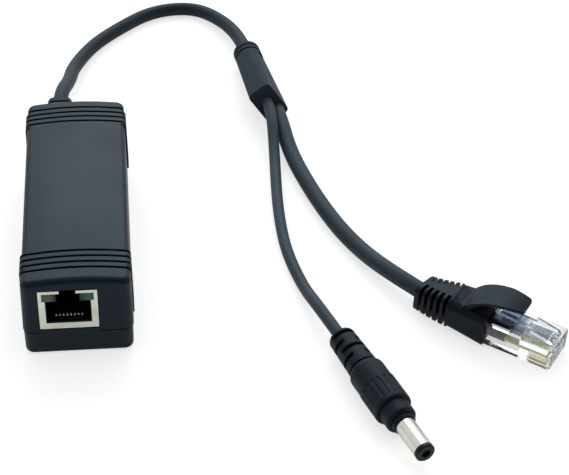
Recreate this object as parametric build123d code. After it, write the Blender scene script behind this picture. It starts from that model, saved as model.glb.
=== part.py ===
"""Power-over-network splitter: a small case with a network jack in its front face and a cord at
its back, which divides at a moulded junction into a power cord and a network cord.

Millimetres. The origin is under the middle of the case, on the surface that it stands on.
+X is to the right seen from the jack face, +Y runs from the jack face to the cord end, +Z is up.
"""
import math
import os

from build123d import *

# Case, with its width and length taken at the parting plane
case_length = 88.6
case_width = 29.9
case_height = 25.5
parting_height = 7.5
wall = 1.8
draft = 1.0
crown = 1.3
corner_radius = 2.6
top_edge_radius = 1.7
bottom_edge_radius = 1.3

# Tongue of the bottom cover and the rebate that takes it
tongue_height = 1.2
rebate_wall = 0.9
shell_gap = 0.1
parting_groove_width = 0.3
parting_groove_depth = 0.3

# Grip grooves and the raised pads that they cross
groove_count = 4
front_groove_first = 5.9
rear_groove_first = 4.6
groove_pitch = 2.45
groove_width = 0.9
groove_depth = 0.55
groove_side_depth = 0.2
groove_stop = 1.6
pad_step = 0.5
front_pad_start = 7.0
rear_pad_start = 6.0
pad_length = 7.0
front_block_step = 0.2

# Network jack
jack_width = 16.0
jack_height = 13.0
jack_depth = 21.3
jack_x = -2.3
jack_bottom = 8.9
jack_recess = 0.15
jack_clearance = 0.2
shield_sheet = 0.3
window_side_bar = 1.8
window_bottom_bar = 1.95
window_height = 7.6
lamp_side_bar = 0.95
lamp_width = 3.7
lamp_height = 2.55
lamp_depth = 7.0
lamp_recess = 0.05
latch_slot_width = 4.5
latch_slot_depth = 2.6
opening_width = 12.0
opening_height = 6.9
opening_depth = 14.5
opening_rim = 0.3
latch_channel_width = 6.2

# Contact springs of the jack
contact_count = 8
contact_pitch = 1.016
contact_thickness = 0.45
contact_front = 2.6
contact_bend = 11.0
contact_bend_rise = 3.6
contact_rear_rise = 4.4

# Circuit board and the posts that carry it
board_thickness = 1.6
board_gap = 0.3
cord_room = 12.2
post_diameter = 4.2
post_inset = 3.2
pin_diameter = 2.0
pin_clearance = 0.15
pin_recess = 0.3

# Components on the board, in rows that share the room behind the jack
component_gap = 0.6
transformer_row = (0.01, 0.30)
rectifier_row = (0.315, 0.435)
power_row = (0.455, 0.645)
input_row = (0.665, 0.825)
output_row = (0.84, 0.99)
lan_transformer_length = 15.2
lan_transformer_height = 6.2
lan_lead_count = 8
lan_lead_pitch = 1.6
lan_lead_width = 0.6
lan_lead_reach = 1.3
lan_lead_thickness = 0.4
rectifier_length = 8.2
rectifier_height = 2.5
core_length = 12.4
core_height = 12.6
core_share = 0.6
core_leg = 2.6
core_post = 2.8
core_yoke = 2.2
coil_gap = 0.1
chip_length = 4.9
chip_width = 3.9
chip_height = 1.5
coupler_length = 4.0
coupler_width = 5.4
coupler_height = 3.2
diode_length = 4.0
diode_width = 5.2
diode_height = 2.4
capacitor_height = 11.5
capacitor_edge = 0.7
capacitor_bead = 1.8
capacitor_bead_depth = 0.35
inductor_diameter = 6.6
inductor_waist = 4.6
inductor_height = 8.0
inductor_flange = 1.4

# Strain relief at the back of the case
relief_x = -5.7
relief_height = 12.0
relief_length = 16.8
relief_width_front = 9.2
relief_width_rear = 7.6
relief_thickness_front = 8.0
relief_thickness_rear = 7.0
relief_corner = 2.0
relief_slot_count = 6
relief_slot_first = 2.6
relief_slot_pitch = 2.35
relief_slot_width = 0.95
relief_slot_depth = 0.9
relief_neck_width = 6.8
relief_neck_height = 5.8
relief_flange_thickness = 1.5
relief_flange_growth = 0.8
relief_gap = 0.1

# Lead wires from the strain relief to the board
wire_diameter = 1.0
wire_count = 5
wire_pitch = 1.25
wire_landing_pitch = 2.3
wire_landing = 1.5
wire_bend_radius = 1.8

# Cords, with their routes from the object outward
main_cord_diameter = 4.6
power_cord_diameter = 3.5
network_cord_diameter = 5.0
main_route = [
    (-5.7, 61.1, 12.0),
    (-5.7, 69.0, 12.0),
    (-3.1, 83.8, 7.2),
    (-2.4, 97.3, 3.4),
    (4.3, 113.7, 2.3),
    (14.5, 125.5, 2.3),
    (25.5, 135.5, 2.3),
    (38.2, 137.8, 2.3),
    (47.0, 132.4, 2.6),
    (55.59, 115.67, 4.18),
    (57.45, 100.8, 5.1),
]
power_route = [
    (61.28, 65.05, 8.32),
    (62.15, 58.1, 8.75),
    (61.8, 42.3, 2.8),
    (60.8, 25.5, 1.75),
    (60.3, 9.5, 1.75),
    (60.9, -6.3, 1.75),
    (64.1, -22.9, 1.75),
    (67.02, -36.1, 5.3),
    (71.69, -49.52, 5.3),
]
network_route = [
    (64.41, 65.26, 4.9),
    (65.22, 58.8, 5.3),
    (66.9, 43.1, 2.6),
    (71.8, 21.5, 2.5),
    (77.3, 3.8, 2.5),
    (83.7, -9.7, 2.5),
    (90.9, -24.0, 5.2),
    (97.6, -31.4, 4.8),
]

# Moulded junction, whose flat body leans over on its cords
junction_end = (61.9, 65.3, 7.3)
junction_roll = -56.3
junction_thickness = 8.2
junction_width_start = 9.4
junction_width_end = 13.2
junction_corner_start = 2.6
junction_corner_end = 1.6
collar_length = 6.6
collar_diameter = 9.2
collar_slot_count = 2
collar_slot_first = 1.5
collar_slot_pitch = 2.5
collar_slot_width = 1.0
collar_slot_depth = 0.9

# Power plug
power_plug_heading = -70.8
grip_diameter = 10.6
grip_length = 17.4
grip_step_x = 7.7
grip_step = 0.2
grip_shoulder = 2.4
grip_edge = 0.6
flute_count = 18
flute_depth = 0.22
flute_radius = 0.6
flute_margin = 1.4
nose_diameter = 8.6
nose_length = 4.7
nose_edge = 0.9
relief_boot_rear_diameter = 7.6
relief_boot_front_diameter = 8.6
relief_boot_length = 14.0
relief_boot_edge = 0.9
boot_slot_count = 4
boot_slot_first = 1.9
boot_slot_pitch = 3.0
boot_slot_width = 1.3
boot_slot_wall = 0.6
boot_slot_spine = 3.4
barrel_diameter = 5.5
barrel_bore = 4.5
barrel_length = 11.5
tip_length = 1.3
tip_edge = 0.35
spring_diameter = 3.2
socket_bore = 2.5
spring_length = 8.5

# Network plug, in a frame at the middle of its rear bottom edge with +X toward its nose
network_plug_place = (113.8, -44.45, 0.98)
network_plug_heading = -35.6
network_plug_tilt = 2.5
plug_width = 11.68
plug_length = 21.46
plug_height = 6.6
heel_height = 7.7
heel_length = 8.5
plug_edge = 0.4
cable_hole_width = 8.4
cable_hole_height = 4.8
cable_hole_floor = 1.2
cable_hole_depth = 11.5
wire_duct_width = 8.3
wire_duct_height = 1.2
wire_duct_floor = 2.8
wire_duct_end = 19.6
core_wire_diameter = 0.95
core_wire_start = 7.0
jacket_width = 7.2
jacket_height = 4.0
blade_slot_width = 0.5
blade_slot_length = 6.2
blade_slot_margin = 0.9
blade_width = 0.35
blade_length = 5.0
blade_recess = 0.35
lever_width = 6.0
lever_tail_width = 3.3
lever_root_x = 20.6
lever_knee_x = 13.2
lever_tail_x = 3.6
lever_knee_rise = 1.3
lever_tail_rise = 1.9
lever_thickness = 1.0

# Boot on the rear of the network plug, with a hood over the latch lever
boot_cover_length = 1.3
boot_wall = 0.85
boot_body_length = 10.0
boot_corner = 1.5
waist_width = 11.4
waist_height = 10.0
tail_width = 8.8
tail_height = 8.4
tail_drop = 2.95
tail_length = 10.9
tail_bend = 12.2
tail_slot_count = 5
tail_slot_first = 1.3
tail_slot_pitch = 1.9
tail_slot_width = 0.95
tail_slot_wall = 0.8
top_spine_rear = 1.5
top_spine_front = 5.2
bottom_spine = 1.4
hood_rear_x = -7.6
hood_rise_x = -1.4
hood_rise = 3.1
hood_top_x = 4.4
hood_tip_x = 10.6
hood_clearance = 3.7
hood_tip_drop = 0.2
hood_roof = 0.9
hood_mouth_x = -4.4
hood_width_rear = 10.2
hood_width_middle = 9.0
hood_width_tip = 6.4
hood_corner = 1.2

# Places that follow from the sizes above
case_front = -case_length / 2
case_rear = case_length / 2
board_top = jack_bottom
board_bottom = board_top - board_thickness
board_front = case_front + wall + board_gap
board_half_width = case_width / 2 - wall - board_gap
board_rear = case_rear - cord_room
jack_front = case_front + jack_recess
jack_rear = jack_front + jack_depth
row_end = board_rear - wire_landing - wire_diameter
opening_floor = jack_bottom + window_bottom_bar + opening_rim
opening_top = opening_floor + opening_height
lamp_bottom = jack_bottom + window_bottom_bar + window_height
lamp_top = lamp_bottom + lamp_height
relief_rear = case_rear + relief_length
flange_half_height = (relief_thickness_front + relief_flange_growth) / 2
flange_top = relief_height + flange_half_height
wall_lean = (flange_top - parting_height) * math.tan(math.radians(draft))
flange_rear = case_rear - wall - wall_lean - relief_gap
junction_start = main_route[-1]


def slab(x0, x1, y0, y1, z0, z1):
    """Box between the given limits."""
    middle = Location(((x0 + x1) / 2, (y0 + y1) / 2, (z0 + z1) / 2))
    return middle * Box(abs(x1 - x0), abs(y1 - y0), abs(z1 - z0))


def seated_box(size, place):
    """Box of the given size that stands on the board."""
    length, width, height = size
    return Location((place[0], place[1], board_top + height / 2)) * Box(length, width, height)


def case_plan(inset):
    """Outline of the case at the parting plane, drawn in on all sides."""
    radius = max(corner_radius - inset, shell_gap)
    return RectangleRounded(case_width - 2 * inset, case_length - 2 * inset, radius)


def crowned_prism(top):
    """Everything under a shallow arch across the case, with its ridge at the given height."""
    half_width = case_width / 2 + pad_step
    low = top - crown
    arch = ThreePointArc((-half_width, low), (0, top), (half_width, low))
    skirt = Polyline((half_width, low), (half_width, 0), (-half_width, 0), (-half_width, low))
    return extrude(Plane.XZ * make_face(arch + skirt), amount=case_length, both=True)


def cover_form(side_step, inset, top):
    """Form of the top cover, widened by side_step, drawn in by inset and arched up to top."""
    width = case_width + 2 * side_step - 2 * inset
    plan = RectangleRounded(width, case_length - 2 * inset, max(corner_radius - inset, shell_gap))
    walls = extrude(Plane.XY.offset(parting_height) * plan, amount=case_height, taper=draft)
    return walls & crowned_prism(top)


def rounded_cover_form(side_step, top):
    """Outer form of the top cover with its upper edge rounded."""
    form = cover_form(side_step, 0, top)
    return fillet(form.faces().sort_by(Axis.Z)[-1].edges(), top_edge_radius)


def across(y0, y1, low):
    """Everything between two planes across the case, above the given height."""
    return slab(-case_width, case_width, y0, y1, low, 2 * case_height)


def grip_grooves():
    """Grooves over the crown and down the sides at both ends of the top cover."""
    cuts = Part()
    for side, first in ((-1, front_groove_first), (1, rear_groove_first)):
        for index in range(groove_count):
            middle = side * (case_rear - first - index * groove_pitch)
            low = parting_height + groove_stop
            cuts += across(middle - groove_width / 2, middle + groove_width / 2, low)
    return cuts - rounded_cover_form(-groove_side_depth, case_height - groove_depth)


def jack_window():
    """Opening in the front wall that the jack fills."""
    half = jack_width / 2 + jack_clearance
    top = jack_bottom + jack_height + jack_clearance
    inner = case_front + 2 * wall
    return slab(jack_x - half, jack_x + half, case_front - wall, inner, parting_height, top)


def relief_notch():
    """Notch in the rear wall, open at the parting plane, that holds the strain relief's neck."""
    half = relief_neck_width / 2 + relief_gap
    top = relief_height + relief_neck_height / 2 + relief_gap
    inner = case_rear - 2 * wall
    return slab(relief_x - half, relief_x + half, inner, case_rear + wall, parting_height, top)


def parting_groove():
    """Shadow groove along the lower edge of the top cover."""
    outside = slab(-case_width, case_width, -case_length, case_length, parting_height,
                   parting_height + parting_groove_width)
    kept = Plane.XY.offset(parting_height) * case_plan(parting_groove_depth)
    return outside - extrude(kept, amount=parting_groove_width)


def top_cover():
    """Crowned upper half of the case, with grip pads, grooves and the openings at its ends."""
    body = rounded_cover_form(0, case_height)
    padded = rounded_cover_form(pad_step, case_height)
    rear_pad = case_rear - rear_pad_start
    front_pad = case_front + front_pad_start
    body += padded & across(rear_pad - pad_length, rear_pad, 0)
    body += padded & across(front_pad, front_pad + pad_length, 0)
    stepped = rounded_cover_form(front_block_step, case_height)
    body += stepped & across(case_front, front_pad, 0)
    body -= grip_grooves()
    body -= cover_form(0, wall, case_height - wall)
    rebate = Plane.XY.offset(parting_height) * case_plan(rebate_wall)
    body -= extrude(rebate, amount=tongue_height + shell_gap)
    return body - parting_groove() - jack_window() - relief_notch()


def board_holes(diameter, low, high):
    """Round posts or holes at the four corners of the board."""
    x = board_half_width - post_inset
    posts = Part()
    for y in (board_front + post_inset, board_rear - post_inset):
        for side in (-1, 1):
            middle = Location((side * x, y, (low + high) / 2))
            posts += middle * Cylinder(diameter / 2, high - low)
    return posts


def tray(inset, floor):
    """Lower half of the case down to the given floor, drawn in by inset."""
    plan = Plane.XY.offset(parting_height) * case_plan(inset)
    return extrude(plan, amount=parting_height - floor, dir=(0, 0, -1), taper=draft)


def bottom_cover():
    """Tray with a tongue round its rim, tabs under the jack and strain relief, and board posts."""
    body = tray(0, 0)
    body = fillet(body.faces().sort_by(Axis.Z)[0].edges(), bottom_edge_radius)
    body -= tray(wall, wall)
    rim = Plane.XY.offset(parting_height)
    tongue = case_plan(rebate_wall + shell_gap) - case_plan(wall)
    body += extrude(rim * tongue, amount=tongue_height)
    jack_half = jack_width / 2 + jack_clearance - shell_gap
    jack_tab_top = jack_bottom - jack_clearance
    body += slab(jack_x - jack_half, jack_x + jack_half, case_front, case_front + wall,
                 parting_height, jack_tab_top)
    neck_half = relief_neck_width / 2
    neck_bottom = relief_height - relief_neck_height / 2 - relief_gap
    body += slab(relief_x - neck_half, relief_x + neck_half, case_rear - wall, case_rear,
                 parting_height, neck_bottom)
    body += board_holes(post_diameter, wall, board_bottom)
    return body + board_holes(pin_diameter, wall, board_top - pin_recess)


def circuit_board():
    """Board on the posts of the bottom cover."""
    board = slab(-board_half_width, board_half_width, board_front, board_rear, board_bottom, board_top)
    return board - board_holes(pin_diameter + 2 * pin_clearance, board_bottom, board_top)


def jack_block(inset, front, rear, bottom):
    """Part of the jack's envelope, drawn in at its sides and top."""
    half = jack_width / 2 - inset
    top = jack_bottom + jack_height - inset
    return slab(jack_x - half, jack_x + half, jack_front + front, jack_front + rear, bottom, top)


def latch_slot():
    """Slot for the latch through the middle of the jack's upper front edge."""
    half = latch_slot_width / 2
    top = jack_bottom + jack_height
    return slab(jack_x - half, jack_x + half, jack_front, jack_front + latch_slot_depth, lamp_bottom, top)


def jack_lamp(side):
    """Indicator lamp in an upper corner of the jack."""
    outer = jack_width / 2 - lamp_side_bar
    x0 = jack_x + side * (outer - lamp_width)
    x1 = jack_x + side * outer
    front = jack_front + lamp_recess
    return slab(x0, x1, front, jack_front + lamp_depth, lamp_bottom, lamp_top)


def jack_shield():
    """Folded sheet round the jack, with windows for the plug, its latch and the lamps."""
    body = jack_block(0, 0, jack_depth, jack_bottom)
    body -= jack_block(shield_sheet, shield_sheet, jack_depth - shield_sheet, jack_bottom)
    half = jack_width / 2 - window_side_bar
    floor = jack_bottom + window_bottom_bar
    plate_rear = jack_front + shield_sheet
    body -= slab(jack_x - half, jack_x + half, jack_front, plate_rear, floor, lamp_bottom)
    half = jack_width / 2 - lamp_side_bar
    body -= slab(jack_x - half, jack_x + half, jack_front, plate_rear, lamp_bottom, lamp_top)
    return body - latch_slot()


def jack_housing():
    """Moulded inner block of the jack with the plug opening and the latch channel."""
    body = jack_block(shield_sheet, shield_sheet, jack_depth - shield_sheet, jack_bottom)
    half = opening_width / 2
    rear = jack_front + opening_depth
    body -= slab(jack_x - half, jack_x + half, jack_front, rear, opening_floor, opening_top)
    half = latch_channel_width / 2
    body -= slab(jack_x - half, jack_x + half, jack_front, rear, opening_top, lamp_top)
    body -= latch_slot()
    return body - jack_lamp(-1) - jack_lamp(1)


def contact_places():
    """Offsets of the eight contacts across a jack or plug."""
    return [(index - (contact_count - 1) / 2) * contact_pitch for index in range(contact_count)]


def jack_contacts():
    """Bent springs that rise from the floor of the opening to its rear wall."""
    centre_line = [
        (jack_front + contact_front, opening_floor),
        (jack_front + contact_bend, opening_floor + contact_bend_rise),
        (jack_front + opening_depth, opening_floor + contact_rear_rise),
    ]
    upper = [(y, z + contact_thickness) for y, z in reversed(centre_line)]
    strip = make_face(Polyline(*centre_line, *upper, close=True))
    springs = []
    for offset in contact_places():
        plane = Plane.YZ.offset(jack_x + offset - contact_thickness / 2)
        springs.append(extrude(plane * strip, amount=contact_thickness))
    return Compound(children=springs)


def row_middle(row):
    """Place along the board of the middle of a row of components."""
    return jack_rear + (row_end - jack_rear) * (row[0] + row[1]) / 2


def row_length(row):
    """Extent of a row of components along the board."""
    return (row_end - jack_rear) * (row[1] - row[0])


def beside_edge(side, length):
    """Place across the board of a component of the given length next to one of its long edges."""
    return side * (board_half_width - component_gap - length / 2)


def lan_transformer():
    """Signal transformer between the jack and the cord, standing on two rows of leads."""
    y = row_middle(transformer_row)
    width = row_length(transformer_row) - 2 * lan_lead_reach
    body = seated_box((lan_transformer_length, width, lan_transformer_height), (jack_x, y))
    for side in (-1, 1):
        for index in range(lan_lead_count):
            x = jack_x + (index - (lan_lead_count - 1) / 2) * lan_lead_pitch
            place = (x, y + side * (width + lan_lead_reach) / 2)
            body += seated_box((lan_lead_width, lan_lead_reach, lan_lead_thickness), place)
    return body


def core_place():
    """Middle of the power transformer on the board."""
    return beside_edge(-1, core_length), row_middle(power_row)


def transformer_core():
    """Ferrite core with two windows beside its middle post."""
    width = core_share * row_length(power_row)
    x, y = core_place()
    body = seated_box((core_length, width, core_height), (x, y))
    for side in (-1, 1):
        inner = x + side * core_post / 2
        outer = x + side * (core_length / 2 - core_leg)
        low = board_top + core_yoke
        high = board_top + core_height - core_yoke
        body -= slab(min(inner, outer), max(inner, outer), y - width, y + width, low, high)
    return body


def transformer_coil():
    """Taped winding round the middle post of the core."""
    x, y = core_place()
    half = core_length / 2 - core_leg - coil_gap
    reach = row_length(power_row) / 2
    low = board_top + core_yoke
    high = board_top + core_height - core_yoke
    body = slab(x - half, x + half, y - reach, y + reach, low, high)
    body = fillet(body.edges().filter_by(Axis.Z), core_post / 2)
    post = core_share * reach
    return body - slab(x - core_post / 2, x + core_post / 2, y - post, y + post, low, high)


def bridge_rectifiers():
    """Pair of rectifiers beside each other behind the signal transformer."""
    size = (rectifier_length, row_length(rectifier_row), rectifier_height)
    y = row_middle(rectifier_row)
    places = [(beside_edge(side, rectifier_length), y) for side in (-1, 1)]
    return Compound(children=[seated_box(size, place) for place in places])


def controller_chip():
    """Switching controller beside the power transformer."""
    place = (beside_edge(1, chip_length), row_middle(power_row))
    return seated_box((chip_length, chip_width, chip_height), place)


def feedback_coupler():
    """Optical coupler behind the power transformer."""
    place = (beside_edge(-1, coupler_length), row_middle(input_row))
    return seated_box((coupler_length, coupler_width, coupler_height), place)


def output_diode():
    """Rectifier diode of the output."""
    place = (beside_edge(1, diode_length), row_middle(output_row))
    return seated_box((diode_length, diode_width, diode_height), place)


def capacitor(side, row):
    """Can with a rolled bead near its foot and a rounded top edge, next to an edge of the board."""
    radius = row_length(row) / 2
    can = Cylinder(radius, capacitor_height, align=(Align.CENTER, Align.CENTER, Align.MIN))
    can = fillet(can.faces().sort_by(Axis.Z)[-1].edges(), capacitor_edge)
    bead = Torus(radius + capacitor_bead_depth, 2 * capacitor_bead_depth)
    can -= Location((0, 0, capacitor_bead)) * bead
    return Location((beside_edge(side, 2 * radius), row_middle(row), board_top)) * can


def filter_inductor():
    """Drum core between two flanges."""
    stand = (Align.CENTER, Align.CENTER, Align.MIN)
    drum = Cylinder(inductor_waist / 2, inductor_height, align=stand)
    flange = Cylinder(inductor_diameter / 2, inductor_flange, align=stand)
    drum += flange
    drum += Location((0, 0, inductor_height - inductor_flange)) * flange
    capacitor_side = beside_edge(-1, 0) + row_length(output_row)
    diode_side = beside_edge(1, 2 * diode_length)
    return Location(((capacitor_side + diode_side) / 2, row_middle(output_row), board_top)) * drum


def relief_section(y, inset):
    """Cross-section of the strain relief's tapered body, drawn in by inset."""
    share = (y - case_rear) / relief_length
    width = relief_width_front + share * (relief_width_rear - relief_width_front) - 2 * inset
    thickness = relief_thickness_front + share * (relief_thickness_rear - relief_thickness_front)
    section = RectangleRounded(width, thickness - 2 * inset, relief_corner - inset)
    return Plane((relief_x, y, relief_height), x_dir=(1, 0, 0), z_dir=(0, -1, 0)) * section


def cord_grommet():
    """Ribbed strain relief, with a neck through the rear wall and a flange inside it."""
    body = loft([relief_section(case_rear, 0), relief_section(relief_rear, 0)])
    core = loft([relief_section(y, relief_slot_depth) for y in (case_rear, relief_rear)])
    slots = Part()
    for index in range(relief_slot_count):
        y = case_rear + relief_slot_first + index * relief_slot_pitch
        slots += across(y - relief_slot_width / 2, y + relief_slot_width / 2, 0)
    body -= slots - core
    neck = slab(relief_x - relief_neck_width / 2, relief_x + relief_neck_width / 2, flange_rear, case_rear,
                relief_height - relief_neck_height / 2, relief_height + relief_neck_height / 2)
    half_width = (relief_width_front + relief_flange_growth) / 2
    flange = slab(relief_x - half_width, relief_x + half_width, flange_rear - relief_flange_thickness,
                  flange_rear, relief_height - flange_half_height, flange_top)
    flange = fillet(flange.edges().filter_by(Axis.Y), relief_corner)
    return body + neck + flange


def lead_wires():
    """Wires that fan out from the strain relief to a row of pads at the rear of the board."""
    wires = []
    wire_start = flange_rear - relief_flange_thickness - relief_gap
    for index in range(wire_count):
        offset = index - (wire_count - 1) / 2
        start = (relief_x + offset * wire_pitch, wire_start, relief_height)
        landing_x = relief_x + offset * wire_landing_pitch
        landing_y = board_rear - wire_landing
        corner = (landing_x, landing_y, relief_height)
        path = FilletPolyline(start, corner, (landing_x, landing_y, board_top), radius=wire_bend_radius)
        section = Plane(path @ 0, z_dir=path % 0) * Circle(wire_diameter / 2)
        wires.append(sweep(section, path=path))
    return Compound(children=wires)


def cord_radii(route):
    """Arc radius at each inner point of a route, as large as its two runs allow."""
    points = [Vector(*point) for point in route]
    radii = []
    for before, corner, after in zip(points, points[1:], points[2:]):
        turn = math.radians((corner - before).get_angle(after - corner))
        shorter = min((corner - before).length, (after - corner).length)
        radii.append(0.45 * shorter / math.tan(turn / 2))
    return radii


def cord(name, route, diameter):
    """Round cord along straight runs joined by arcs."""
    radii = cord_radii(route)
    print(name, "least radius", round(min(radii) / diameter, 1), "diameters")
    path = FilletPolyline(*route, radius=radii)
    section = Plane(path @ 0, z_dir=path % 0) * Circle(diameter / 2)
    tube = sweep(section, path=path)
    share = tube.volume / section.area / path.length
    print(name, "length", round(path.length, 1), "volume share", round(share, 4))
    return tube


def junction_plane(distance):
    """Plane across the junction, at a distance from its collar's end, turned with its body."""
    heading = (Vector(*junction_end) - Vector(*junction_start)).normalized()
    level = Vector(0, 0, 1).cross(heading).normalized()
    upright = heading.cross(level)
    roll = math.radians(junction_roll)
    across_body = level * math.cos(roll) + upright * math.sin(roll)
    origin = Vector(*junction_start) + heading * distance
    return Plane(origin, x_dir=across_body, z_dir=heading)


def y_junction():
    """Flat body that widens toward its two outlets, behind a round collar with slots."""
    length = (Vector(*junction_end) - Vector(*junction_start)).length
    narrow = RectangleRounded(junction_width_start, junction_thickness, junction_corner_start)
    broad = RectangleRounded(junction_width_end, junction_thickness, junction_corner_end)
    body = loft([junction_plane(collar_length) * narrow, junction_plane(length) * broad])
    ring = Circle(collar_diameter / 2)
    body += extrude(junction_plane(0) * ring, amount=collar_length)
    slot = ring - Circle(collar_diameter / 2 - collar_slot_depth)
    for index in range(collar_slot_count):
        distance = collar_slot_first + index * collar_slot_pitch
        body -= extrude(junction_plane(distance) * slot, amount=collar_slot_width)
    return body


def power_plug_location():
    """Frame of the power plug, with +X along its axis from the cord to the tip."""
    return Location(power_route[-1], (0, 0, power_plug_heading))


def turned(points):
    """Solid turned about the plug's axis from an outline of distances and radii."""
    outline = Polyline(*points, close=True)
    return revolve(make_face(outline), axis=Axis.X)


def power_plug_grip():
    """Moulded grip with flutes, a narrow nose, and a slotted strain relief behind it."""
    rear = relief_boot_length
    front = rear + grip_length
    tail = turned([(0, 0), (0, relief_boot_rear_diameter / 2),
                   (rear, relief_boot_front_diameter / 2), (rear, 0)])
    tail = fillet(tail.faces().sort_by(Axis.X)[0].edges(), relief_boot_edge)
    tail -= relief_boot_slots()
    step = rear + grip_step_x
    radius = grip_diameter / 2
    grip = turned([(rear, 0), (rear, radius - grip_step), (step, radius - grip_step),
                   (step + grip_step, radius), (front, radius), (front, 0)])
    grip = fillet(grip.faces().sort_by(Axis.X)[0].edges(), grip_shoulder)
    grip = fillet(grip.faces().sort_by(Axis.X)[-1].edges(), grip_edge)
    grip -= grip_flutes(step + flute_margin, front - flute_margin)
    nose_end = front + nose_length
    nose = turned([(front, 0), (front, nose_diameter / 2), (nose_end, nose_diameter / 2), (nose_end, 0)])
    nose = fillet(nose.faces().sort_by(Axis.X)[-1].edges(), nose_edge)
    return power_plug_location() * (tail + grip + nose)


def relief_boot_slots():
    """Slots round the plug's strain relief, with spines that alternate between sides and top."""
    core_radius = power_cord_diameter / 2 + boot_slot_wall
    slots = Part()
    for index in range(boot_slot_count):
        x = boot_slot_first + index * boot_slot_pitch
        spine = Rectangle(2 * grip_diameter, boot_slot_spine)
        if index % 2:
            spine = Rectangle(boot_slot_spine, 2 * grip_diameter)
        ring = Rectangle(2 * grip_diameter, 2 * grip_diameter) - Circle(core_radius) - spine
        plane = Plane((x - boot_slot_width / 2, 0, 0), x_dir=(0, 1, 0), z_dir=(1, 0, 0))
        slots += extrude(plane * ring, amount=boot_slot_width)
    return slots


def grip_flutes(start, end):
    """Shallow lengthwise flutes round the grip."""
    distance = grip_diameter / 2 + flute_radius - flute_depth
    stand = (Align.CENTER, Align.CENTER, Align.MIN)
    flutes = Part()
    for index in range(flute_count):
        angle = (index + 0.5) * 360 / flute_count
        centre = Location((0, 0, 0), (angle, 0, 0)) * Location((start, 0, distance), (0, 90, 0))
        flutes += centre * Cylinder(flute_radius, end - start, align=stand)
    return flutes


def power_plug_barrel():
    """Plated outer tube of the power plug."""
    start = relief_boot_length + grip_length + nose_length
    end = start + barrel_length
    tube = turned([(start, barrel_bore / 2), (start, barrel_diameter / 2), (end, barrel_diameter / 2),
                   (end, barrel_bore / 2)])
    return power_plug_location() * tube


def power_plug_insulator():
    """Insulating sleeve that fills the barrel and ends in a ring at the tip."""
    start = relief_boot_length + grip_length + nose_length
    end = start + barrel_length + tip_length
    inside = start + barrel_length - spring_length
    sleeve = turned([
        (start, 0),
        (start, barrel_bore / 2),
        (end - tip_length, barrel_bore / 2),
        (end - tip_length, barrel_diameter / 2),
        (end - tip_edge, barrel_diameter / 2),
        (end, barrel_diameter / 2 - tip_edge),
        (end, socket_bore / 2),
        (end - tip_length, socket_bore / 2),
        (end - tip_length, spring_diameter / 2),
        (inside, spring_diameter / 2),
        (inside, 0),
    ])
    return power_plug_location() * sleeve


def power_plug_spring():
    """Inner contact sleeve of the power plug."""
    start = relief_boot_length + grip_length + nose_length + barrel_length - spring_length
    end = start + spring_length
    sleeve = turned([(start, socket_bore / 2), (start, spring_diameter / 2), (end, spring_diameter / 2),
                     (end, socket_bore / 2)])
    return power_plug_location() * sleeve


def network_plug_location():
    """Frame of the network plug on its boot and nose."""
    level = Location(network_plug_place, (0, 0, network_plug_heading))
    return level * Location((0, 0, 0), (0, network_plug_tilt, 0))


def plug_slab(x0, x1, width, z0, z1):
    """Box in the network plug's frame, centred on its middle plane."""
    return slab(x0, x1, -width / 2, width / 2, z0, z1)


def network_plug_body():
    """Clear body with a stepped heel, a cable hole, a wire duct and slots for the contacts."""
    body = plug_slab(0, plug_length, plug_width, 0, plug_height)
    body += plug_slab(0, heel_length, plug_width, 0, heel_height)
    body = chamfer(body.faces().sort_by(Axis.X)[-1].edges(), plug_edge)
    hole_top = cable_hole_floor + cable_hole_height
    body -= plug_slab(0, cable_hole_depth, cable_hole_width, cable_hole_floor, hole_top)
    duct_top = wire_duct_floor + wire_duct_height
    body -= plug_slab(cable_hole_depth, wire_duct_end, wire_duct_width, wire_duct_floor, duct_top)
    slot_end = plug_length - blade_slot_margin
    slot_start = slot_end - blade_slot_length
    half = blade_slot_width / 2
    for offset in contact_places():
        body -= slab(slot_start, slot_end, offset - half, offset + half, 0, wire_duct_floor)
    return network_plug_location() * (body + latch_lever())


def latch_lever():
    """Springy lever that rises from the nose of the plug toward its heel."""
    top = plug_height
    outline = Polyline(
        (lever_root_x, top),
        (lever_root_x - lever_thickness, top + lever_thickness),
        (lever_knee_x, top + lever_knee_rise + lever_thickness),
        (lever_tail_x, top + lever_tail_rise + lever_thickness),
        (lever_tail_x, top + lever_tail_rise),
        (lever_knee_x, top + lever_knee_rise),
        (lever_root_x - 2 * lever_thickness, top),
        close=True,
    )
    blade = extrude(Plane.XZ * make_face(outline), amount=lever_width / 2, both=True)
    width = (lever_width - lever_tail_width) / 2
    for side in (-1, 1):
        outer = side * lever_width / 2
        inner = outer - side * width
        blade -= slab(lever_tail_x, lever_knee_x, min(inner, outer), max(inner, outer), top, 2 * top)
    return blade


def network_plug_contacts():
    """Eight gilt blades in the slots of the plug."""
    end = plug_length - blade_slot_margin - (blade_slot_length - blade_length) / 2
    blades = []
    for offset in contact_places():
        half = blade_width / 2
        blade = slab(end - blade_length, end, offset - half, offset + half, blade_recess, wire_duct_floor)
        blades.append(network_plug_location() * blade)
    return Compound(children=blades)


def network_plug_wires():
    """Eight insulated wires that lie side by side in the duct and on the contacts."""
    wires = []
    height = wire_duct_floor + core_wire_diameter / 2
    length = wire_duct_end - core_wire_start
    wire = Cylinder(core_wire_diameter / 2, length, align=(Align.CENTER, Align.CENTER, Align.MIN))
    for offset in contact_places():
        start = Location((core_wire_start, offset, height), (0, 90, 0))
        wires.append(network_plug_location() * start * wire)
    return Compound(children=wires)


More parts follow.
